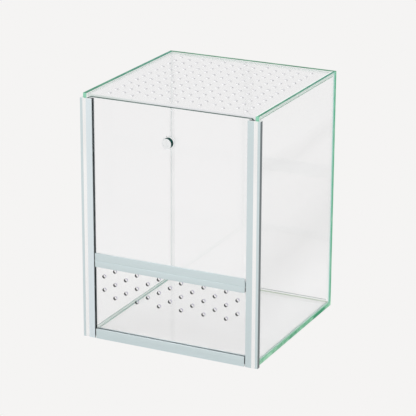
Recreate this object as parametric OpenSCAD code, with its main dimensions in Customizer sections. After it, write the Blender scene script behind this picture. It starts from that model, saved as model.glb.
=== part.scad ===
// Small glass terrarium with a front pane that lifts up in two side rails.
// The origin is the middle of the floor pane's underside, +Z is up and the door faces -Y.

/* [Glass box] */
// Width over the two side panes
tank_w = 200; // [160:1:400]
// Depth of the floor pane
tank_d = 195; // [120:1:400]
// Height from the underside to the top of the upright panes
tank_h = 270; // [200:1:500]
// Thickness of the fixed glass panes
glass_t = 4; // [3:0.5:6]
// How far the side panes reach past the floor pane in front
pane_reach = 4.4; // [2:0.1:5]

/* [Perforated sheets] */
// Thickness of the lid and of the front vent panel
sheet_t = 3; // [2:0.5:4]
// Diameter of a vent hole
vent_d = 4; // [2:0.5:5]
// Distance between neighbouring vent holes
vent_pitch = 15; // [10:0.5:20]
// Least distance from the vent panel's side edge to a hole's centre
vent_side_margin = 14; // [10:1:30]
// Distance from the lid's front edge to its first row of holes
lid_front_margin = 15; // [8:0.5:30]
// Least distance from the lid's last row of holes to its back edge
lid_back_margin = 11; // [8:0.5:30]
// Distance from the top of the panes down to the top of the lid
lid_drop = 1; // [0:0.1:3]
// Gap between the lid and the panes round it
lid_play = 0.2; // [0.1:0.05:0.5]
// Gap between the lid's front edge and the closed door
lid_door_gap = 0.25; // [0.2:0.05:1]
// Gap between the lid and the upper ends of the side rails
lid_rail_gap = 0.7; // [0.2:0.1:5]
// Rows of holes in the front vent panel's long columns
panel_rows = 3; // [1:1:3]
// Distance from the middle rail down to the vent panel's top row of holes
panel_vent_drop = 2.9; // [2.5:0.1:10]

/* [Rails] */
// Wall thickness of the aluminium rails
rail_wall = 1.5; // [1:0.1:2]
// Face width of a side rail
rail_w = 14; // [13:0.5:20]
// How far a side rail stands out past the side pane
rail_overhang = 2.5; // [1.5:0.5:4]
// Width of a side rail's flat face
face_w = 7; // [5:0.5:8]
// Width of the slope between a side rail's flat face and its outer band
slope_w = 4; // [1:0.5:5]
// How far the outer band lies behind the flat face
band_step = 0.3; // [0:0.1:0.8]
// How much shorter a side rail's outer lip is than its inner wall
lip_short = 1; // [0:0.5:2]
// Wall between the door's slot and the groove for the side pane
slot_web = 0.85; // [0.6:0.05:1.5]
// Clearance on each side of a side pane in its rail
pane_play = 0.15; // [0.1:0.05:0.4]
// Gap between a cross rail's end and a side rail
cross_gap = 1.2; // [0.5:0.1:3]
// Height of the bottom rail
bottom_h = 11; // [8:0.5:20]
// Height of the middle rail's lower edge
middle_z = 81.4; // [60:0.1:120]
// Height of the middle rail's front face
middle_h = 15.5; // [14:0.5:24]
// Depth of the middle rail's lower groove, for the vent panel
middle_low = 5.1; // [3:0.1:8]
// Height of the middle rail's back lip above its web
middle_lip = 4.5; // [2:0.5:6]
// Width of the fine line along the middle rail, which is half as deep
line_w = 0.5; // [0.3:0.1:1]

/* [Door] */
// Thickness of the door glass
door_t = 3; // [3:0.5:5]
// Size of the cut at each of the door's corners
door_corner = 2; // [0.5:0.5:4]
// Clearance on each face of the door in its slots
door_play = 0.25; // [0.15:0.05:0.5]
// Gap between a door's side edge and the bottom of its slot
door_side_gap = 1; // [0.5:0.5:2]
// Gap under the closed door
door_seat = 0.2; // [0.1:0.1:0.5]
// Diameter of the knob
knob_d = 11; // [8:0.5:20]
// Length of the knob in front of its pad
knob_len = 6; // [3:0.1:15]
// Size of the bevel round the knob's face
knob_bevel = 0.6; // [0.3:0.1:2]
// How much wider than the knob its pad is
pad_rim = 3; // [1:0.5:6]
// Thickness of the pad that holds the knob
pad_t = 0.8; // [0.4:0.1:2]
// Distance from the door's top edge down to the knob's centre
knob_drop = 37; // [15:1:60]
// Distance from the top of the panes down to the top of the closed door
door_drop = 3; // [0:0.5:10]

/* [Silicone seams] */
// Leg of the silicone beads in the tank's lower and rear corners
bead_leg = 3.5; // [2:0.5:5]
// Leg of the silicone beads under the lid
lid_bead_leg = 2.5; // [1.5:0.5:4]
// Thickness of the silicone between a rail and a pane's front edge
seam_t = 0.5; // [0.3:0.1:1]

/* [Hidden] */
$fn = 64;
// What a cutter stands past the face that it cuts
past = 1;

half_w = tank_w / 2;
half_d = tank_d / 2;
// Inner faces of the side panes and of the back pane
inner_x = half_w - glass_t;
inner_back = half_d - glass_t;
// Front edge of the side panes
pane_front = -half_d - pane_reach;
pane_h = tank_h - glass_t;

// Every rail has the same slot, wide enough for the door glass
slot_w = door_t + 2 * door_play;
rail_back = -half_d - seam_t;
slot_back = rail_back - rail_wall;
slot_front = slot_back - slot_w;
rail_front = slot_front - rail_wall;
rail_depth = rail_back - rail_front;
rail_out = half_w + rail_overhang;
rail_in = rail_out - rail_w;
slot_end = inner_x - pane_play - slot_web;
band_front = rail_front + band_step;
lip_back = rail_back - lip_short;
cross_half = rail_in - cross_gap;

// The middle rail's web carries the door and caps the vent panel
web_z = middle_z + middle_low;
web_top = web_z + rail_wall;

// The door and the vent panel reach equally far into the side rails
door_half = slot_end - door_side_gap;
door_z = web_top + door_seat;
door_top = tank_h - door_drop;
door_h = door_top - door_z;
door_front = slot_front + door_play;
knob_z = door_top - knob_drop;
panel_front = slot_back - sheet_t;

// The lid lies between the panes and ends behind the door
lid_z = tank_h - lid_drop - sheet_t;
lid_half = inner_x - lid_play;
lid_front = door_front + door_t + lid_door_gap;
lid_d = inner_back - lid_play - lid_front;
rail_h = lid_z - lid_rail_gap;

// Holes stand in columns on a lattice of equal triangles
column_pitch = vent_pitch * sqrt(3) / 2;
vent_columns = 2 * floor((door_half - vent_side_margin) / column_pitch) + 1;
lid_rows = floor((lid_d - lid_front_margin - lid_back_margin) / vent_pitch) + 1;
lid_vent_y = lid_front + lid_front_margin + (lid_rows - 1) * vent_pitch / 2;
panel_vent_z = middle_z - panel_vent_drop - (panel_rows - 1) * vent_pitch / 2;

// A bead's hollow is an arc through its two toes, this many legs from the corner
bead_hollow = 1.5;

// Columns of holes along X, in which the even and the odd columns have their own number of rows
module vent_holes(even_rows, odd_rows, depth) {
    for (column = [0 : vent_columns - 1]) {
        from_middle = column - (vent_columns - 1) / 2;
        rows = column % 2 == 0 ? even_rows : odd_rows;
        for (row = [0 : 1 : rows - 1])
            translate([from_middle * column_pitch, (row - (rows - 1) / 2) * vent_pitch, -past])
                cylinder(d = vent_d, h = depth + 2 * past);
    }
}

// Silicone bead in a corner, with its legs along +X and +Y and its length along +Z
module bead(leg, length) {
    away = bead_hollow * leg;
    linear_extrude(length)
        difference() {
            polygon([[0, 0], [leg, 0], [0, leg]]);
            translate([away, away])
                circle(norm([away, away - leg]));
        }
}

// Outline of a side rail seen from above, on the right-hand side
module rail_outline() {
    difference() {
        polygon([
            [rail_in, rail_front],
            [rail_in + face_w, rail_front],
            [rail_in + face_w + slope_w, band_front],
            [rail_out, band_front],
            [rail_out, lip_back],
            [half_w, lip_back],
            [half_w, rail_back],
            [rail_in, rail_back]
        ]);
        translate([rail_in - past, slot_front])
            square([slot_end - rail_in + past, slot_w]);
        translate([inner_x - pane_play, pane_front - seam_t])
            square([glass_t + 2 * pane_play, tank_d]);
    }
}

// An outline in Y and Z, drawn as X and Y, pushed out along X on both sides of the middle
module across(half_length) {
    translate([-half_length, 0, 0])
        rotate([90, 0, 90])
            linear_extrude(2 * half_length)
                children();
}

module side_pane() {
    translate([inner_x, pane_front, glass_t])
        cube([glass_t, inner_back - pane_front, pane_h]);
}

module side_rail_seam() {
    translate([inner_x, pane_front - seam_t, glass_t])
        cube([glass_t, seam_t, rail_h - glass_t]);
}

module corner_bead() {
    translate([-inner_x, inner_back, glass_t])
        mirror([0, 1, 0])
            bead(bead_leg, lid_z - glass_t);
}

module floor_side_bead() {
    difference() {
        translate([-inner_x, inner_back, glass_t])
            rotate([90, 0, 0])
                bead(bead_leg, tank_d - glass_t);
        corner_bead();
    }
}

module lid_side_bead() {
    difference() {
        translate([-inner_x, inner_back, lid_z])
            mirror([0, 0, 1])
                rotate([90, 0, 0])
                    bead(lid_bead_leg, tank_d - glass_t);
        corner_bead();
    }
}

// A bead along the back pane, which starts and ends at the beads in the corners
module back_bead(leg) {
    translate([-inner_x, inner_back, 0])
        mirror([0, 1, 0])
            rotate([90, 0, 90])
                bead(leg, 2 * inner_x);
}

module both_sides() {
    children();
    mirror([1, 0, 0])
        children();
}

module floor_glass() {
    color("honeydew", 0.4)
        translate([-half_w, -half_d, 0])
            cube([tank_w, tank_d, glass_t]);
}

module back_glass() {
    color("honeydew", 0.4)
        translate([-half_w, inner_back, glass_t])
            cube([tank_w, glass_t, pane_h]);
}

module left_glass() {
    color("honeydew", 0.4)
        mirror([1, 0, 0])
            side_pane();
}

module right_glass() {
    color("honeydew", 0.4)
        side_pane();
}

module vent_lid() {
    color("white", 0.5)
        translate([0, 0, lid_z])
            difference() {
                translate([-lid_half, lid_front, 0])
                    cube([2 * lid_half, lid_d, sheet_t]);
                translate([0, lid_vent_y, 0])
                    vent_holes(lid_rows, lid_rows - 1, sheet_t);
            }
}

module front_vent_panel() {
    color("white", 0.5)
        difference() {
            translate([-door_half, panel_front, rail_wall])
                cube([2 * door_half, sheet_t, web_z - rail_wall]);
            translate([0, panel_front + sheet_t, panel_vent_z])
                rotate([90, 0, 0])
                    vent_holes(panel_rows - 1, panel_rows, sheet_t);
        }
}

module left_rail() {
    color("lightsteelblue")
        mirror([1, 0, 0])
            linear_extrude(rail_h)
                rail_outline();
}

module right_rail() {
    color("lightsteelblue")
        linear_extrude(rail_h)
            rail_outline();
}

// The front face hides the shorter lip behind the door glass
module middle_rail() {
    color("lightsteelblue")
        across(cross_half)
            difference() {
                union() {
                    translate([rail_front, middle_z])
                        square([rail_wall, middle_h]);
                    translate([rail_front, web_z])
                        square([rail_depth, rail_wall]);
                    translate([slot_back, middle_z])
                        square([rail_wall, middle_low + rail_wall + middle_lip]);
                }
                translate([rail_front, web_top])
                    square([line_w, line_w], center = true);
            }
}

module bottom_rail() {
    color("lightsteelblue")
        across(cross_half)
            difference() {
                translate([rail_front, 0])
                    square([rail_depth, bottom_h]);
                translate([slot_front, rail_wall])
                    square([slot_w, bottom_h]);
            }
}

module door_glass() {
    color("honeydew", 0.4)
        translate([0, door_front + door_t, door_z])
            rotate([90, 0, 0])
                linear_extrude(door_t)
                    difference() {
                        translate([-door_half, 0])
                            square([2 * door_half, door_h]);
                        for (side = [-1, 1])
                            for (edge = [0, door_h])
                                translate([side * door_half, edge])
                                    rotate(45)
                                        square(door_corner * sqrt(2), center = true);
                    }
}

module door_knob() {
    color("darkslategray")
        translate([0, door_front - pad_t, knob_z])
            rotate([90, 0, 0])
                rotate_extrude()
                    polygon([
                        [0, 0],
                        [knob_d / 2, 0],
                        [knob_d / 2, knob_len - knob_bevel],
                        [knob_d / 2 - knob_bevel, knob_len],
                        [0, knob_len]
                    ]);
}

module knob_pad() {
    color("whitesmoke")
        translate([0, door_front, knob_z])
            rotate([90, 0, 0])
                cylinder(d = knob_d + pad_rim, h = pad_t);
}

module back_left_seam() {
    color("gainsboro")
        corner_bead();
}

module back_right_seam() {
    color("gainsboro")
        mirror([1, 0, 0])
            corner_bead();
}

module floor_left_seam() {
    color("gainsboro")
        floor_side_bead();
}

module floor_right_seam() {
    color("gainsboro")
        mirror([1, 0, 0])
            floor_side_bead();
}

module floor_back_seam() {
    color("gainsboro")
        difference() {
            translate([0, 0, glass_t])
                back_bead(bead_leg);
            both_sides() {
                corner_bead();
                floor_side_bead();
            }
        }
}

module lid_left_seam() {
    color("gainsboro")
        lid_side_bead();
}

module lid_right_seam() {
    color("gainsboro")
        mirror([1, 0, 0])
            lid_side_bead();
}

module lid_back_seam() {
    color("gainsboro")
        difference() {
            translate([0, 0, lid_z])
                mirror([0, 0, 1])
                    back_bead(lid_bead_leg);
            both_sides() {
                corner_bead();
                lid_side_bead();
            }
        }
}

module left_rail_seam() {
    color("gainsboro")
        mirror([1, 0, 0])
            side_rail_seam();
}

module right_rail_seam() {
    color("gainsboro")
        side_rail_seam();
}

// Fills the joint between the rails and the floor pane, with a bead on the floor behind them
module front_seam() {
    color("gainsboro")
        difference() {
            union() {
                across(inner_x)
                    translate([rail_back, 0])
                        square([seam_t, glass_t]);
                translate([-inner_x, rail_back, glass_t])
                    rotate([90, 0, 90])
                        bead(bead_leg, 2 * inner_x);
            }
            both_sides()
                floor_side_bead();
        }
}

floor_glass();
back_glass();
left_glass();
right_glass();
vent_lid();
front_vent_panel();
left_rail();
right_rail();
middle_rail();
bottom_rail();
door_glass();
door_knob();
knob_pad();
back_left_seam();
back_right_seam();
floor_left_seam();
floor_right_seam();
floor_back_seam();
lid_left_seam();
lid_right_seam();
lid_back_seam();
left_rail_seam();
right_rail_seam();
front_seam();
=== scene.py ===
import math

import bpy
from mathutils import Matrix, Vector


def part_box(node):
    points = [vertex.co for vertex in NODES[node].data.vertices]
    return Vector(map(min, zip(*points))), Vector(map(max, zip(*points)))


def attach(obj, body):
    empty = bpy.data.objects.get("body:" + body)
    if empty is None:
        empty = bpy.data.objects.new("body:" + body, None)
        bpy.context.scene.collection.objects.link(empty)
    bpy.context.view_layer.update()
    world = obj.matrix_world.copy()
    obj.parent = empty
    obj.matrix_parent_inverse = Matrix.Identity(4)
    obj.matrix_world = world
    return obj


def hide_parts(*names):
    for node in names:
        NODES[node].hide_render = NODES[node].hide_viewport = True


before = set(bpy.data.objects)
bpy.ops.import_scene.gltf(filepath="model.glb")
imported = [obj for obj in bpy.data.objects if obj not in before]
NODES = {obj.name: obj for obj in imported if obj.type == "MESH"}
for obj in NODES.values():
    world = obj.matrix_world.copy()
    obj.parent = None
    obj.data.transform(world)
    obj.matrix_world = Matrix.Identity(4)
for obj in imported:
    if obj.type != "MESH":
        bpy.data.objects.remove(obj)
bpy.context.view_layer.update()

MM = 0.001

# The photograph's camera, solved from the hole rows and the panes' edges.
CAMERA_PLACE = (0.882300, -1.826184, 0.814165)
CAMERA_TURN = 25.9282
CAMERA_DROP = 18.6754
CAMERA_ROLL = 0.2231
CAMERA_LENS = 172.043
CAMERA_SENSOR = 36.0

# The colour of the seamless backdrop, as light.
BACKDROP = (0.9130, 0.9047, 0.8963)
# How much of the floor's even tone shows through glass, over its own shading.
EVEN_THROUGH_GLASS = 0.6

GLASS_IOR = 1.52
ACRYLIC_IOR = 1.49
PAD_IOR = 1.47
SILICONE_IOR = 1.41

# How far a glued pane end reaches into its neighbour, so that the glue joint has no air in it.
GLUE_REACH = 0.03 * MM
# Loose points of a CAD solid that lie closer than this are one point, and faces within this turn are one.
SAME_POINT = 0.002 * MM
SAME_FACE_DEGREES = 0.4
ARRIS = 0.30 * MM
DOOR_CORNER_CUT = 2.0 * MM
RAIL_EDGE = 0.18 * MM

# The heights and places that the finishes are laid out by.
TANK_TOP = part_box("right_glass")[1][2]
FLOOR_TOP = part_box("floor_glass")[1][2]
LID_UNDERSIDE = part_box("vent_lid")[0][2]
LEFT_PANE_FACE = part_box("left_glass")[1][0]
RIGHT_PANE_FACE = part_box("right_glass")[0][0]

# The right pane's painted shade bands: how far they sway, as a share of the height, and how much bluer they
# are.
SHADE_BAND_SWAY = 0.18
SHADE_BAND_BLUE = 1.01
# The bright strip on the inner side of the right pane's top end.
BRIGHT_STRIP = 1.6 * MM

# From where to where on Y a ground edge's tone changes, and on X a sawn edge turns greener.
EDGE_RUN = (-100 * MM, 98 * MM)
GREEN_RUN = (-20 * MM, -70 * MM)
# Where round a hole, by its normal's X, the painted light on the left of its inside gives way to that on
# the right.
HOLE_TURN = (0.38, 0.62)

# The side rails' section, as their solids have it: flat face, slope, then the outer band. The slope takes a
# painted highlight.
RAIL_FACE = 7.0 * MM
RAIL_SLOPING = 4.0 * MM
RAIL_WALL = 1.5 * MM

KNOB_FACETS = 96
KNOB_BEVEL = 0.6 * MM
PAD_BEVEL = 0.3 * MM
BACK_BREAK = 0.15 * MM

# Where the floor's beads show a line: the left one up its pane and out on the floor, the back one high up.
LINE_UP = (2.0 * MM, 2.6 * MM)
LINE_OUT = (2.1 * MM, 2.7 * MM)
BACK_LINE_FROM = 2.7 * MM
# The right bead's foot, painted lighter as if lit by the floor pane's edge, how softly it ends, and the
# line under the lid.
FOOT_HEIGHT = 2.4 * MM
FOOT_FADE = 0.3 * MM
LID_LINE_WIDTH = 0.8 * MM
MARK_ALPHA = 0.85

# How closely a face follows an axis: dead on it, more along it than across, or slanted to it at least.
STRAIGHT = 0.99
MOSTLY = 0.7
SLANTED = 0.3
# Slack for telling which part of a section a face belongs to.
SLACK = 0.1 * MM

FLOOR_SIZE = 30.0
FLOOR_DROP = 0.3 * MM


# Small helpers

def let_go():
    """Nothing stays selected, so that the next operator works on its own piece only."""
    if bpy.context.object and bpy.context.object.mode != "OBJECT":
        bpy.ops.object.mode_set(mode="OBJECT")
    bpy.ops.object.select_all(action="DESELECT")


def pick(piece):
    let_go()
    piece.select_set(True)
    bpy.context.view_layer.objects.active = piece


def settle(piece, name):
    """Puts the piece's place into its mesh and names it."""
    pick(piece)
    bpy.ops.object.transform_apply(location=True, rotation=True, scale=True)
    piece.name = name
    piece.data.name = name
    return piece


def choose_edges(piece, wanted):
    """Selects the edges whose two ends pass the test."""
    mesh = piece.data
    bpy.ops.object.mode_set(mode="EDIT")
    bpy.ops.mesh.select_mode(type="EDGE")
    bpy.ops.mesh.select_all(action="DESELECT")
    bpy.ops.object.mode_set(mode="OBJECT")
    for edge in mesh.edges:
        a, b = (mesh.vertices[i].co for i in edge.vertices)
        edge.select = wanted(a, b)
    bpy.ops.object.mode_set(mode="EDIT")


def smooth_round(piece, degrees=30):
    pick(piece)
    bpy.ops.object.shade_smooth_by_angle(angle=math.radians(degrees))


def merged_copy(node, name):
    """A copy of a CAD solid with its loose triangles joined into clean faces."""
    pick(NODES[node])
    bpy.ops.object.duplicate()
    piece = bpy.context.object
    piece.name = name
    piece.data.name = name
    bpy.ops.object.mode_set(mode="EDIT")
    bpy.ops.mesh.select_all(action="SELECT")
    bpy.ops.mesh.remove_doubles(threshold=SAME_POINT)
    bpy.ops.mesh.dissolve_limited(angle_limit=math.radians(SAME_FACE_DEGREES))
    bpy.ops.object.mode_set(mode="OBJECT")
    piece.data.materials.clear()
    return piece


def finish_edges(piece, width, segments=2, limit=35):
    """Breaks the sharp edges by a fine bevel."""
    pick(piece)
    bevel = piece.modifiers.new("edge_break", "BEVEL")
    bevel.width = width
    bevel.segments = segments
    bevel.limit_method = "ANGLE"
    bevel.angle_limit = math.radians(limit)
    bevel.use_clamp_overlap = True
    bpy.ops.object.modifier_apply(modifier=bevel.name)
    smooth_round(piece)


def stand_for(piece, body, node):
    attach(piece, body)
    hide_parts(node)


def give(piece, finishes, choose=None):
    """Gives the piece its finishes. choose tells from a face's middle and normal which one it takes."""
    piece.data.materials.clear()
    for finish in finishes:
        piece.data.materials.append(finish)
    for face in piece.data.polygons:
        face.material_index = choose(face.center, face.normal) if choose else 0


# Node trees

def add(tree, kind, inputs=None, **settings):
    node = tree.nodes.new(kind)
    for key, value in settings.items():
        setattr(node, key, value)
    for key, value in (inputs or {}).items():
        if isinstance(value, bpy.types.NodeSocket):
            tree.links.new(value, node.inputs[key])
        else:
            node.inputs[key].default_value = value
    return node


def maths(tree, operation, a, b=0.0, clamp=False):
    return add(tree, "ShaderNodeMath", {0: a, 1: b}, operation=operation, use_clamp=clamp).outputs[0]


def blend(tree, fac, a, b, kind="MIX"):
    node = add(tree, "ShaderNodeMix", data_type="RGBA", blend_type=kind)
    for key, value in ((0, fac), (6, a), (7, b)):
        if isinstance(value, bpy.types.NodeSocket):
            tree.links.new(value, node.inputs[key])
        else:
            node.inputs[key].default_value = value
    return node.outputs[2]


def noise(tree, vector, scale, detail=2.0, **more):
    """Cloud noise, scale being its patches to the metre."""
    inputs = {"Vector": vector, "Scale": scale, "Detail": detail, **more}
    return add(tree, "ShaderNodeTexNoise", inputs).outputs["Fac"]


def along_axis(tree, vector, axis):
    """One coordinate of a vector."""
    return add(tree, "ShaderNodeSeparateXYZ", {"Vector": vector}).outputs[axis]


def rescale(tree, value, source=(0.0, 1.0), target=(0.0, 1.0)):
    """Carries a value from one range over to another and holds it there."""
    inputs = {"From Min": source[0], "From Max": source[1], "To Min": target[0], "To Max": target[1]}
    return add(tree, "ShaderNodeMapRange", {"Value": value, **inputs}).outputs["Result"]


def ramp(tree, fac, stops):
    node = add(tree, "ShaderNodeValToRGB", {"Fac": fac})
    marks = node.color_ramp.elements
    while len(marks) < len(stops):
        marks.new(0.5)
    for mark, (spot, colour) in zip(marks, stops):
        mark.position = spot
        mark.color = colour
    return node.outputs["Color"]


def relief(tree, shader, height, strength, depth):
    """Fine relief on the shader's surface."""
    bump = add(tree, "ShaderNodeBump", {"Strength": strength, "Distance": depth, "Height": height})
    tree.links.new(bump.outputs[0], shader.inputs["Normal"])


def show_mix(tree, out, fac, first, second):
    """The surface is the first shader where fac is 0 and the second where it is 1."""
    mix = add(tree, "ShaderNodeMixShader", {0: fac, 1: first.outputs[0], 2: second.outputs[0]})
    tree.links.new(mix.outputs[0], out.inputs["Surface"])


def new_group(name, inputs, outputs):
    group = bpy.data.node_groups.new(name, "ShaderNodeTree")
    for label, kind, value in inputs:
        socket = group.interface.new_socket(label, in_out="INPUT", socket_type=kind)
        if value is not None:
            socket.default_value = value
    for label, kind in outputs:
        group.interface.new_socket(label, in_out="OUTPUT", socket_type=kind)
    return group, group.nodes.new("NodeGroupInput"), group.nodes.new("NodeGroupOutput")


def place(tree, group, inputs):
    node = add(tree, "ShaderNodeGroup")
    node.node_tree = group
    for key, value in inputs.items():
        if isinstance(value, bpy.types.NodeSocket):
            tree.links.new(value, node.inputs[key])
        else:
            node.inputs[key].default_value = value
    return node


def wiped_surface():
    """Wipe marks and the slight unevenness of a clear sheet."""
    group, given, out = new_group(
        "wiped_surface",
        [("Vector", "NodeSocketVector", None), ("Marks", "NodeSocketFloat", 0.5)],
        [("Tint", "NodeSocketFloat"), ("Height", "NodeSocketFloat")],
    )
    vector = given.outputs["Vector"]
    stretched = add(group, "ShaderNodeMapping", {"Vector": vector, "Scale": (9.0, 9.0, 2.4)}).outputs[0]
    streaks = noise(group, stretched, 6.0, 4.0, Roughness=0.55, Distortion=0.6)
    specks = maths(group, "POWER", noise(group, vector, 900.0), 6.0)
    faint_specks = maths(group, "MULTIPLY", specks, 0.5)
    mixed = maths(group, "ADD", maths(group, "MULTIPLY", streaks, 0.7), faint_specks, True)
    tint = maths(group, "MULTIPLY", mixed, given.outputs["Marks"], True)
    group.links.new(tint, out.inputs["Tint"])
    group.links.new(noise(group, vector, 14.0, 1.0), out.inputs["Height"])
    return group


def drawn_metal():
    """Die lines that run along an extrusion, with a fine grain between them."""
    group, given, out = new_group(
        "drawn_metal",
        [("Vector", "NodeSocketVector", None), ("Depth", "NodeSocketFloat", 0.5)],
        [("Shade", "NodeSocketFloat"), ("Height", "NodeSocketFloat")],
    )
    vector = given.outputs["Vector"]
    broad = maths(group, "MULTIPLY", noise(group, vector, 160.0, 3.0), 0.6)
    fine = maths(group, "MULTIPLY", noise(group, vector, 1400.0), 0.4)
    lines = maths(group, "ADD", broad, fine)
    shade = maths(group, "MULTIPLY", lines, given.outputs["Depth"], True)
    group.links.new(shade, out.inputs["Shade"])
    group.links.new(lines, out.inputs["Height"])
    return group


GROUPS = {}


def group_by(maker):
    """Each node group is made once and then shared."""
    if maker not in GROUPS:
        GROUPS[maker] = maker()
    return GROUPS[maker]


def new_material(name):
    material = bpy.data.materials.new(name)
    material.use_nodes = True
    tree = material.node_tree
    tree.nodes.clear()
    out = tree.nodes.new("ShaderNodeOutputMaterial")
    shader = tree.nodes.new("ShaderNodeBsdfPrincipled")
    tree.links.new(shader.outputs[0], out.inputs["Surface"])
    coords = tree.nodes.new("ShaderNodeTexCoord").outputs["Object"]
    return material, tree, shader, out, coords


def let_lamps_through(tree, shader, out, colour):
    """Lamps reach through clear pieces, so that a glass box isn't dark inside."""
    path = tree.nodes.new("ShaderNodeLightPath")
    clear = add(tree, "ShaderNodeBsdfTransparent", {"Color": colour})
    show_mix(tree, out, path.outputs["Is Shadow Ray"], shader, clear)


def clear_finish(name, bright, marked, ior, rough, marks=0.5, ripple=0.02, shade_bands=()):
    """
    A clear sheet: bright is its own tint, marked the tint where it has been wiped. shade_bands gives soft
    painted shade stripes as pairs of height, from 0 at the floor to 1 at the top, and tone.
    """
    material, tree, shader, out, coords = new_material(name)
    film = place(tree, group_by(wiped_surface), {"Vector": coords, "Marks": marks})
    tint = blend(tree, film.outputs["Tint"], (*bright, 1), (*marked, 1))
    # Painted shade: soft darker bands up the pane.
    if shade_bands:
        share = rescale(
            tree, along_axis(tree, coords, "Z"), (0.0, TANK_TOP), (-SHADE_BAND_SWAY / 2, 1.0 - SHADE_BAND_SWAY / 2),
        )
        sway = maths(tree, "MULTIPLY", noise(tree, coords, 7.0, 1.0), SHADE_BAND_SWAY)
        stripes = ramp(
            tree, maths(tree, "ADD", share, sway),
            [(spot, (tone, tone, SHADE_BAND_BLUE * tone, 1)) for spot, tone in shade_bands],
        )
        tint = blend(tree, 1.0, tint, stripes, "MULTIPLY")
    tree.links.new(tint, shader.inputs["Base Color"])
    shader.inputs["Roughness"].default_value = rough
    shader.inputs["IOR"].default_value = ior
    shader.inputs["Transmission Weight"].default_value = 1.0
    relief(tree, shader, film.outputs["Height"], ripple, 2 * MM)
    let_lamps_through(tree, shader, out, (*bright, 1))
    return material


def edge_grain():
    """A ground glass edge: a tone that changes from front to rear, paler patches and fine pits."""
    group, given, out = new_group(
        "edge_grain",
        [
            ("Vector", "NodeSocketVector", None), ("Front", "NodeSocketColor", None),
            ("Rear", "NodeSocketColor", None), ("Pale", "NodeSocketColor", None),
            ("Patches", "NodeSocketFloat", 0.5),
        ],
        [("Tone", "NodeSocketColor"), ("Height", "NodeSocketFloat")],
    )
    vector = given.outputs["Vector"]
    depth = rescale(group, along_axis(group, vector, "Y"), EDGE_RUN)
    tone = blend(group, depth, given.outputs["Front"], given.outputs["Rear"])
    patch = rescale(group, noise(group, vector, 55.0, 3.0), (0.42, 0.68), (0.0, given.outputs["Patches"]))
    tone = blend(group, patch, tone, given.outputs["Pale"])
    group.links.new(tone, out.inputs["Tone"])
    group.links.new(noise(group, vector, 2200.0), out.inputs["Height"])
    return group


def painted_glow_within(tree, shader, out, colour):
    """Seen from inside the glass, an end shows a painted glow, an emission that stands in for the light
    that the glass carries.
    """
    inside = tree.nodes.new("ShaderNodeNewGeometry").outputs["Backfacing"]
    glow = add(tree, "ShaderNodeEmission", {"Color": colour})
    show_mix(tree, out, inside, shader, glow)


def ground_edge(
    name, front, rear, inner, pale=(0.45, 0.80, 0.58), patches=0.15, rough=0.35, shine=0.3, strip=None,
):
    """
    The cut edge of float glass: front and rear as seen from outside, inner as seen through the pane.
    strip is a place on X and the tone of the edge to the left of it.
    """
    material, tree, shader, out, coords = new_material(name)
    tones = {"Front": (*front, 1), "Rear": (*rear, 1), "Pale": (*pale, 1)}
    grain = place(tree, group_by(edge_grain), {"Vector": coords, "Patches": patches, **tones})
    tone = grain.outputs["Tone"]
    if strip:
        border, light = strip
        left = maths(tree, "LESS_THAN", along_axis(tree, coords, "X"), border)
        tone = blend(tree, left, tone, (*light, 1))
    tree.links.new(tone, shader.inputs["Base Color"])
    pits = grain.outputs["Height"]
    tree.links.new(rescale(tree, pits, target=(rough - 0.1, rough + 0.1)), shader.inputs["Roughness"])
    relief(tree, shader, pits, 0.15, 0.2 * MM)
    shader.inputs["Specular IOR Level"].default_value = shine
    painted_glow_within(tree, shader, out, (*inner, 1))
    return material


def even_end(name, tone):
    """A pane's end that has one tone, whichever way it is seen; seen through the pane, it is a painted
    glow.
    """
    return ground_edge(name, tone, tone, tone)


def drilled_wall(name, outside, painted_inside_left, painted_inside_right, glow=0.0):
    """
    The wall of a drilled hole: outside is its painted tone through the hole, with a painted glow for the
    sheet's light, and painted_inside_left and painted_inside_right are painted glows seen through the
    sheet.
    """
    material, tree, shader, out, coords = new_material(name)
    tone = blend(tree, noise(tree, coords, 900.0), (*outside, 1), (*(0.8 * c for c in outside), 1))
    tree.links.new(tone, shader.inputs["Base Color"])
    tree.links.new(tone, shader.inputs["Emission Color"])
    shader.inputs["Emission Strength"].default_value = glow
    shader.inputs["Roughness"].default_value = 0.3
    shader.inputs["Specular IOR Level"].default_value = 0.3
    normal = tree.nodes.new("ShaderNodeNewGeometry").outputs["Normal"]
    # Painted light: the inside's glow changes round the hole by the normal's X.
    to_right = rescale(tree, along_axis(tree, normal, "X"), HOLE_TURN)
    painted_glow_within(tree, shader, out, blend(tree, to_right, (*painted_inside_left, 1), (*painted_inside_right, 1)))
    return material


def sawn_sheet(name, colour, green, glow=0.6):
    """
    The sawn edge of the clear sheet: milky, with fine saw lines, greener to the left, and with a painted
    glow, an emission that stands in for the light that the sheet carries.
    """
    material, tree, shader, out, coords = new_material(name)
    left = rescale(tree, along_axis(tree, coords, "X"), GREEN_RUN, (0.0, 0.8))
    squeezed = add(tree, "ShaderNodeMapping", {"Vector": coords, "Scale": (1.0, 1.0, 0.1)}).outputs[0]
    lines = noise(tree, squeezed, 1500.0)
    tone = blend(tree, left, (*colour, 1), (*green, 1))
    tree.links.new(tone, shader.inputs["Emission Color"])
    shader.inputs["Emission Strength"].default_value = glow
    tree.links.new(blend(tree, 1 - glow, (0, 0, 0, 1), tone), shader.inputs["Base Color"])
    tree.links.new(rescale(tree, lines, target=(0.3, 0.5)), shader.inputs["Roughness"])
    relief(tree, shader, lines, 0.1, 0.1 * MM)
    return material


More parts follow.
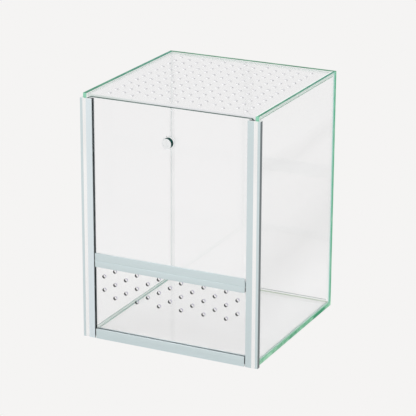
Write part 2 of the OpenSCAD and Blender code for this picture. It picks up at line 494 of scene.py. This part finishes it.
def anodised(name, along, colour, rough):
    """Satin anodised aluminium, drawn along one axis."""
    material, tree, shader, out, coords = new_material(name)
    squeeze = [1.0, 1.0, 1.0]
    squeeze["xyz".index(along)] = 0.012
    run = add(tree, "ShaderNodeMapping", {"Vector": coords, "Scale": squeeze}).outputs[0]
    lines = place(tree, group_by(drawn_metal), {"Vector": run, "Depth": 0.9})
    shade = blend(tree, lines.outputs["Shade"], (*colour, 1), (*(0.94 * c for c in colour), 1))
    tree.links.new(shade, shader.inputs["Base Color"])
    drawn = lines.outputs["Height"]
    tree.links.new(rescale(tree, drawn, target=(rough - 0.06, rough + 0.06)), shader.inputs["Roughness"])
    shader.inputs["Metallic"].default_value = 1.0
    relief(tree, shader, drawn, 0.12, 0.1 * MM)
    return material


def hand_run_bead():
    """Ripples of a hand-run bead, and the cloudiness of the silicone."""
    group, given, out = new_group(
        "hand_run_bead",
        [("Vector", "NodeSocketVector", None)],
        [("Cloud", "NodeSocketFloat"), ("Height", "NodeSocketFloat")],
    )
    vector = given.outputs["Vector"]
    group.links.new(noise(group, vector, 40.0), out.inputs["Cloud"])
    group.links.new(noise(group, vector, 130.0, 3.0), out.inputs["Height"])
    return group


def silicone(name, colour, alpha, rough=0.28, foot=None, line=None):
    """
    Clear silicone. foot is the tone and the top of its lowest part, painted lighter as if the floor pane's
    edge lit it, and line is the tone, the lower and the upper end of a line on its height.
    """
    material, tree, shader, out, coords = new_material(name)
    bead = place(tree, group_by(hand_run_bead), {"Vector": coords})
    tint = blend(tree, bead.outputs["Cloud"], (*colour, 1), (*(0.86 * c for c in colour), 1))
    see = rescale(tree, bead.outputs["Cloud"], (0.25, 0.75), (0.6 * alpha, 1.4 * alpha))
    height = along_axis(tree, coords, "Z")
    if foot:
        tone, top = foot
        marked = rescale(tree, height, (top, top - FOOT_FADE))
    elif line:
        tone, low, top = line
        above, below = maths(tree, "GREATER_THAN", height, low), maths(tree, "LESS_THAN", height, top)
        marked = maths(tree, "MULTIPLY", above, below)
    if foot or line:
        tint = blend(tree, marked, tint, (*tone, 1))
        see = maths(tree, "MAXIMUM", see, maths(tree, "MULTIPLY", marked, MARK_ALPHA))
    tree.links.new(tint, shader.inputs["Base Color"])
    tree.links.new(see, shader.inputs["Alpha"])
    shader.inputs["Roughness"].default_value = rough
    shader.inputs["IOR"].default_value = SILICONE_IOR
    relief(tree, shader, bead.outputs["Height"], 0.15, 0.4 * MM)
    return material


# Finishes

PANE = clear_finish("float_glass_face", (0.996, 0.999, 0.998), (0.985, 0.990, 0.990), GLASS_IOR, 0.0)
# The right pane carries painted shade bands, darker and slightly bluer stripes up the pane.
RIGHT_PANE = clear_finish(
    "float_glass_painted_shade_bands", (0.996, 0.999, 1.0), (0.985, 0.990, 0.992), GLASS_IOR, 0.0,
    shade_bands=((0.15, 0.985), (0.37, 0.89), (0.55, 0.95), (0.70, 0.97), (0.76, 0.93), (0.82, 0.985)),
)
DOOR = clear_finish("door_glass_face", (0.985, 0.985, 0.998), (0.972, 0.974, 0.988), GLASS_IOR, 0.0)
LID = clear_finish("acrylic_lid_face", (0.935, 0.938, 0.955), (0.920, 0.924, 0.940), ACRYLIC_IOR, 0.0)
PANEL = clear_finish("acrylic_panel_face", (0.970, 0.970, 0.978), (0.958, 0.959, 0.967), ACRYLIC_IOR, 0.0)
# The lid's holes: a painted glow through the hole, and inside a painted highlight on the left and painted
# shade on the right.
LID_HOLE = drilled_wall("lid_hole_painted_light_and_shade", (0.80, 0.80, 0.82), (1.10, 1.10, 1.10), (0.40, 0.40, 0.42), 0.12)
# The panel's holes: painted dark as shade through the hole, with an even painted glow inside.
PANEL_HOLE = drilled_wall("panel_hole_painted_shade_and_glow", (0.07, 0.07, 0.08), (0.45, 0.43, 0.52), (0.45, 0.43, 0.52))
# The sheets' rims carry a painted glow.
RIM = sawn_sheet("acrylic_sawn_edge", (0.81, 0.81, 0.83), (0.66, 0.72, 0.69))
RIGHT_RIM = sawn_sheet("acrylic_sawn_edge_right", (0.62, 0.73, 0.66), (0.62, 0.73, 0.66))
KNOB_FACE_GLASS = clear_finish("knob_polished_face", (0.97, 0.98, 0.98), (0.95, 0.96, 0.96), GLASS_IOR, 0.0)
PAD_CLEAR = clear_finish("pad_clear", (0.97, 0.98, 0.98), (0.94, 0.95, 0.95), PAD_IOR, 0.03)
GLUED_END = clear_finish(
    "glued_pane_end", (0.97, 0.985, 0.98), (0.93, 0.96, 0.95), GLASS_IOR, 0.03, marks=0.8, ripple=0.05,
)

# The green seen through a pane. Each ground edge below shows its inner tone, often this green, as a painted
# glow when seen from inside the glass.
THROUGH_GREEN = (0.20, 0.49, 0.32)
DARK_GREEN = (0.002, 0.20, 0.105)
DARK_TEAL = (0.01, 0.22, 0.15)
EDGE = ground_edge("pane_ground_edge", DARK_GREEN, DARK_TEAL, THROUGH_GREEN, shine=0.15)
RIGHT_TOP = ground_edge(
    "right_pane_top_end", DARK_GREEN, DARK_TEAL, THROUGH_GREEN, shine=0.15,
    strip=(RIGHT_PANE_FACE + BRIGHT_STRIP, (0.80, 0.86, 0.84)),
)
FLOOR_EDGE = ground_edge(
    "floor_ground_edge", (0.005, 0.25, 0.10), (0.02, 0.31, 0.15), THROUGH_GREEN, patches=0.85, shine=0.15,
)
REAR_EDGE = ground_edge("back_pane_ground_edge", (0.01, 0.18, 0.08), (0.01, 0.18, 0.08), THROUGH_GREEN)
REAR_SIDE = ground_edge(
    "back_pane_side_edge", (0.07, 0.41, 0.22), (0.07, 0.41, 0.22), THROUGH_GREEN, patches=0.3,
)
FRONT_END = even_end("side_pane_front_end", (0.24, 0.56, 0.40))
LOWER_END = even_end("right_pane_lower_end", (0.12, 0.50, 0.27))
TEAL_END = even_end("right_pane_rear_end", (0.20, 0.56, 0.45))
OLIVE_END = even_end("back_pane_lower_end", (0.22, 0.33, 0.17))
PALE_END = ground_edge("pane_end_on_floor", (0.02, 0.31, 0.15), (0.02, 0.31, 0.15), (0.60, 0.68, 0.64))
FAINT_END = ground_edge("back_pane_left_end", THROUGH_GREEN, THROUGH_GREEN, (0.68, 0.72, 0.71))
DOOR_EDGE = ground_edge(
    "door_ground_edge", (0.03, 0.08, 0.065), (0.03, 0.08, 0.065), (0.28, 0.36, 0.34),
    pale=(0.25, 0.34, 0.32), patches=0.3,
)
# The knob's side: the green of its glass, painted dark teal as a painted reflection, with a painted glow
# seen from inside.
KNOB_SIDE = ground_edge(
    "knob_glass_side_painted_reflection", (0.004, 0.055, 0.046), (0.004, 0.055, 0.046), (0.80, 0.805, 0.81),
    pale=(0.05, 0.20, 0.17), rough=0.3, shine=0.05,
)

# The left rail's flat face is the right one's anodised colour painted lighter: painted light.
RAIL_LEFT_PAINTED_LIGHTER = anodised("rail_satin_left_painted_lighter", "z", (0.77, 0.85, 0.885), 0.34)
RAIL_RIGHT = anodised("rail_satin_right", "z", (0.66, 0.755, 0.775), 0.34)
# The slope is painted near white: a painted highlight.
RAIL_SLOPE_HIGHLIGHT = anodised("rail_slope_painted_highlight", "z", (0.98, 0.98, 0.98), 0.22)
# The rails' faces turned to +X and the walls of the door's slot are painted dark: painted shade.
RAIL_SIDE_SHADE = anodised("rail_side_painted_shade", "z", (0.17, 0.20, 0.21), 0.34)
RAIL_SLOT_SHADE = anodised("rail_slot_painted_shade", "z", (0.12, 0.14, 0.14), 0.5)
RAIL_ACROSS = anodised("rail_satin_across", "x", (0.66, 0.755, 0.775), 0.34)
# The sawn ends are bare metal, painted brighter still as a painted highlight.
RAIL_CUT_AND_HIGHLIGHT = anodised("rail_sawn_end_painted_highlight", "x", (0.95, 0.96, 0.97), 0.4)

BEAD = silicone("clear_silicone", (0.90, 0.93, 0.925), 0.02)
CORNER_BEAD = silicone("clear_silicone_in_corner", (0.80, 0.86, 0.85), 0.05)
BEAD_TOE = silicone("silicone_toe", (0.10, 0.37, 0.29), 0.65)
BEAD_TOP = silicone("silicone_upper_toe", (0.16, 0.24, 0.22), 0.8)
# The foot of this bead is painted light.
LIT_BEAD = silicone(
    "silicone_over_floor_edge", (0.85, 0.88, 0.88), 0.04,
    foot=((0.80, 0.90, 0.88), FLOOR_TOP + FOOT_HEIGHT),
)
LID_LINE = silicone(
    "silicone_under_lid", (0.90, 0.93, 0.925), 0.02,
    line=((0.12, 0.42, 0.28), LID_UNDERSIDE - LID_LINE_WIDTH, LID_UNDERSIDE),
)


# The panes

def side_of(normal):
    """The side that a face looks to, as one of -x, +x, -y, +y, -z and +z."""
    axis = max(range(3), key=lambda i: abs(normal[i]))
    return ("+" if normal[axis] > 0 else "-") + "xyz"[axis]


def pane(name, node, body, thin, finishes, ends, corner_cut=0.0):
    """
    A pane cut to size, its edges ground and its arrises broken. thin is its thickness axis, 0 to 2.
    finishes are those of its faces and of its free edges, and ends gives the edges that differ.
    """
    low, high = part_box(node)
    low, high = Vector(low), Vector(high)
    for axis in range(3):
        if axis != thin:
            low[axis] -= GLUE_REACH
            high[axis] += GLUE_REACH
    let_go()
    bpy.ops.mesh.primitive_cube_add(size=1.0, location=(low + high) / 2, scale=high - low)
    piece = settle(bpy.context.object, name)
    if corner_cut:
        choose_edges(piece, lambda a, b: abs(a[thin] - b[thin]) > ARRIS)
        bpy.ops.mesh.bevel(offset=corner_cut, segments=1, affect="EDGES")
        bpy.ops.object.mode_set(mode="OBJECT")
    choose_edges(piece, lambda a, b: True)
    bpy.ops.mesh.bevel(offset=ARRIS, segments=2, affect="EDGES")
    bpy.ops.object.mode_set(mode="OBJECT")

    def which(middle, normal):
        if abs(normal[thin]) > STRAIGHT:
            return 0
        side = side_of([0 if i == thin else n for i, n in enumerate(normal)])
        return 2 + list(ends).index(side) if side in ends else 1

    give(piece, [*finishes, *ends.values()], which)
    stand_for(piece, body, node)
    return piece


def panes():
    pane(
        "floor_pane", "floor_glass", "tank", 2, (PANE, FLOOR_EDGE),
        {"-y": GLUED_END, "+y": PALE_END, "-x": PALE_END},
    )
    pane(
        "back_pane", "back_glass", "tank", 1, (PANE, REAR_EDGE),
        {"-z": OLIVE_END, "-x": FAINT_END, "+x": REAR_SIDE},
    )
    pane(
        "left_pane", "left_glass", "tank", 0, (PANE, EDGE),
        {"+y": GLUED_END, "-z": PALE_END, "-y": FRONT_END},
    )
    pane(
        "right_pane", "right_glass", "tank", 0, (RIGHT_PANE, EDGE),
        {"+y": TEAL_END, "-y": FRONT_END, "-z": LOWER_END, "+z": RIGHT_TOP},
    )
    pane("sliding_door", "door_glass", "door", 1, (DOOR, DOOR_EDGE), {}, DOOR_CORNER_CUT)


# The drilled sheets: their CAD solids stay and take their finishes face by face

def drilled_sheet(node, thin, face, hole):
    """Dresses a sheet: its faces, the walls of its holes, its rim, and its rim on the right."""
    low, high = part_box(node)

    def which(middle, normal):
        if abs(normal[thin]) > STRAIGHT:
            return 0
        at_rim = any(
            middle[i] < low[i] + SLACK or middle[i] > high[i] - SLACK for i in range(3) if i != thin
        )
        if not at_rim:
            return 1
        return 3 if normal[0] > STRAIGHT else 2

    give(NODES[node], [face, hole, RIM, RIGHT_RIM], which)


def drilled_sheets():
    drilled_sheet("vent_lid", 2, LID, LID_HOLE)
    drilled_sheet("front_vent_panel", 1, PANEL, PANEL_HOLE)


# The aluminium rails

def upright(name, node, flat):
    """A side rail: flat is the finish of the flat face beside the door, on the left rail a lighter copy
    that is painted light.
    """
    piece = merged_copy(node, name)
    finish_edges(piece, RAIL_EDGE)
    low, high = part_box(node)
    inner = min(abs(low[0]), abs(high[0]))
    slope_from = inner + RAIL_FACE
    slope_to = slope_from + RAIL_SLOPING
    front_wall, back_wall = low[1] + RAIL_WALL, high[1] - RAIL_WALL

    def which(middle, normal):
        across = abs(middle[0])
        # Tops and bottoms: the sawn ends, painted brighter as a highlight.
        if abs(normal.z) > MOSTLY:
            return 2
        beside_slot = inner + SLACK / 2 < across < slope_from
        # The slot's walls: painted shade.
        if beside_slot and front_wall - SLACK / 2 < middle[1] < back_wall + SLACK / 2:
            return 4
        # Faces turned to +X: painted shade.
        if normal.x > MOSTLY:
            return 3
        # The slope: a painted highlight.
        if normal.y < -MOSTLY and slope_from < across < slope_to:
            return 1
        return 5 if across > slope_to else 0

    give(piece, [flat, RAIL_SLOPE_HIGHLIGHT, RAIL_CUT_AND_HIGHLIGHT, RAIL_SIDE_SHADE, RAIL_SLOT_SHADE, RAIL_RIGHT], which)
    stand_for(piece, "tank", node)


def crossbar(name, node):
    piece = merged_copy(node, name)
    finish_edges(piece, RAIL_EDGE)
    # The crossbars' sawn ends are painted brighter as a highlight.
    give(piece, [RAIL_ACROSS, RAIL_CUT_AND_HIGHLIGHT], lambda middle, normal: 1 if abs(normal.x) > MOSTLY else 0)
    stand_for(piece, "tank", node)


def rails():
    upright("left_upright", "left_rail", RAIL_LEFT_PAINTED_LIGHTER)
    upright("right_upright", "right_rail", RAIL_RIGHT)
    crossbar("middle_crossbar", "middle_rail")
    crossbar("bottom_crossbar", "bottom_rail")


# The knob and its pad

def disc(name, node, bevel, segments):
    """A round button that faces -Y and reaches into what it is stuck to, with a bevelled front edge."""
    low, high = (Vector(corner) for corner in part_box(node))
    middle = (low + high) / 2
    face, back = low.y, high.y + GLUE_REACH
    let_go()
    bpy.ops.mesh.primitive_cylinder_add(
        vertices=KNOB_FACETS, radius=(high.x - low.x) / 2, depth=back - face,
        location=(middle.x, (back + face) / 2, middle.z),
        rotation=(math.radians(90), 0, 0),
    )
    piece = settle(bpy.context.object, name)
    choose_edges(piece, lambda a, b: max(a.y, b.y) < face + SLACK)
    bpy.ops.mesh.bevel(offset=bevel, segments=segments, affect="EDGES")
    bpy.ops.object.mode_set(mode="OBJECT")
    choose_edges(piece, lambda a, b: min(a.y, b.y) > back - SLACK)
    bpy.ops.mesh.bevel(offset=BACK_BREAK, segments=1, affect="EDGES")
    bpy.ops.object.mode_set(mode="OBJECT")
    smooth_round(piece)
    return piece


def knob():
    button = disc("glass_button", "door_knob", KNOB_BEVEL, 1)
    give(button, [KNOB_FACE_GLASS, KNOB_SIDE], lambda middle, normal: 0 if abs(normal.y) > SLANTED else 1)
    stand_for(button, "door", "door_knob")
    pad = disc("clear_pad", "knob_pad", PAD_BEVEL, 2)
    give(pad, [PAD_CLEAR])
    stand_for(pad, "door", "knob_pad")


# The silicone

SEAMS = (
    "back_left_seam", "back_right_seam", "floor_left_seam", "floor_right_seam", "floor_back_seam",
    "lid_left_seam", "lid_right_seam", "lid_back_seam", "left_rail_seam", "right_rail_seam", "front_seam",
)


def on_hollow(normal):
    """Whether a bead's face belongs to its hollow, not to the two sides that are glued."""
    return max(abs(n) for n in normal) < STRAIGHT


def on_left_lines(middle, normal):
    up, out = middle[2] - FLOOR_TOP, middle[0] - LEFT_PANE_FACE
    on_line = LINE_UP[0] < up < LINE_UP[1] or LINE_OUT[0] < out < LINE_OUT[1]
    return 1 if on_hollow(normal) and on_line else 0


def on_back_line(middle, normal):
    return 1 if on_hollow(normal) and middle[2] - FLOOR_TOP > BACK_LINE_FROM else 0


def on_right_pane(middle, normal):
    return 1 if normal[0] > STRAIGHT else 0


# The beads that differ: their finishes, and which of their faces takes which.
BEAD_FINISHES = {
    "floor_left_seam": ([BEAD, BEAD_TOE], on_left_lines),
    "floor_back_seam": ([BEAD, BEAD_TOP], on_back_line),
    "floor_right_seam": ([LIT_BEAD],),
    "back_left_seam": ([CORNER_BEAD],),
    "lid_right_seam": ([BEAD, LID_LINE], on_right_pane),
}


def beads():
    for node in SEAMS:
        piece = merged_copy(node, node.replace("seam", "bead"))
        swell = piece.modifiers.new("press", "DISPLACE")
        swell.strength = GLUE_REACH
        swell.mid_level = 0.0
        pick(piece)
        bpy.ops.object.modifier_apply(modifier=swell.name)
        smooth_round(piece)
        give(piece, *BEAD_FINISHES.get(node, ([BEAD],)))
        stand_for(piece, "tank", node)


# Stage, light and camera

def stage():
    let_go()
    bpy.ops.mesh.primitive_plane_add(size=FLOOR_SIZE, location=(0, 0, -FLOOR_DROP))
    floor = settle(bpy.context.object, "studio_floor")
    material, tree, shader, out, coords = new_material("studio_paper")
    tint = blend(tree, noise(tree, coords, 40.0), (0.80, 0.795, 0.79, 1), (0.81, 0.805, 0.80, 1))
    tree.links.new(tint, shader.inputs["Base Color"])
    shader.inputs["Roughness"].default_value = 0.9
    shader.inputs["Specular IOR Level"].default_value = 0.0
    path = tree.nodes.new("ShaderNodeLightPath")
    even = add(tree, "ShaderNodeEmission", {"Color": (*BACKDROP, 1), "Strength": 1.0})
    through = maths(tree, "MAXIMUM", path.outputs["Is Transmission Ray"], path.outputs["Is Glossy Ray"])
    softly = maths(tree, "MULTIPLY", through, EVEN_THROUGH_GLASS)
    lit = maths(tree, "MAXIMUM", path.outputs["Is Camera Ray"], softly)
    show_mix(tree, out, lit, shader, even)
    floor.data.materials.append(material)

    world = bpy.data.worlds.new("studio")
    bpy.context.scene.world = world
    world.use_nodes = True
    background = world.node_tree.nodes["Background"]
    background.inputs["Color"].default_value = (*BACKDROP, 1)
    background.inputs["Strength"].default_value = 1.0


def soft_lamp(name, place_at, aim, size, power):
    lamp = bpy.data.lights.new(name, "AREA")
    lamp.shape = "RECTANGLE"
    lamp.size, lamp.size_y = size
    lamp.energy = power
    holder = bpy.data.objects.new(name, lamp)
    bpy.context.collection.objects.link(holder)
    holder.location = place_at
    holder.rotation_euler = (Vector(aim) - Vector(place_at)).to_track_quat("-Z", "Y").to_euler()


def camera():
    a, e, r = (math.radians(v) for v in (CAMERA_TURN, CAMERA_DROP, CAMERA_ROLL))
    back = Vector((math.sin(a) * math.cos(e), -math.cos(a) * math.cos(e), math.sin(e)))
    side = Vector((math.cos(a), math.sin(a), 0))
    up = back.cross(side)
    right = math.cos(r) * side + math.sin(r) * up
    top = -math.sin(r) * side + math.cos(r) * up
    data = bpy.data.cameras.new("photo_camera")
    data.sensor_width = CAMERA_SENSOR
    data.lens = CAMERA_LENS
    data.clip_start, data.clip_end = 0.05, 100.0
    holder = bpy.data.objects.new("photo_camera", data)
    bpy.context.collection.objects.link(holder)
    turn = Matrix((right, top, back)).transposed().to_4x4()
    holder.matrix_world = Matrix.Translation(CAMERA_PLACE) @ turn
    bpy.context.scene.camera = holder


def render_look():
    scene = bpy.context.scene
    scene.view_settings.view_transform = "Standard"
    scene.view_settings.look = "None"
    scene.cycles.max_bounces = 24
    scene.cycles.transmission_bounces = 20
    scene.cycles.transparent_max_bounces = 24
    scene.cycles.glossy_bounces = 8


panes()
drilled_sheets()
rails()
knob()
beads()
stage()
soft_lamp("key_softbox", (-0.9, -1.3, 1.6), (0, 0, 0.13), (1.2, 1.2), 12.0)
soft_lamp("fill_softbox", (1.2, -0.9, 1.2), (0, 0, 0.13), (1.0, 1.0), 5.0)
camera()
render_look()
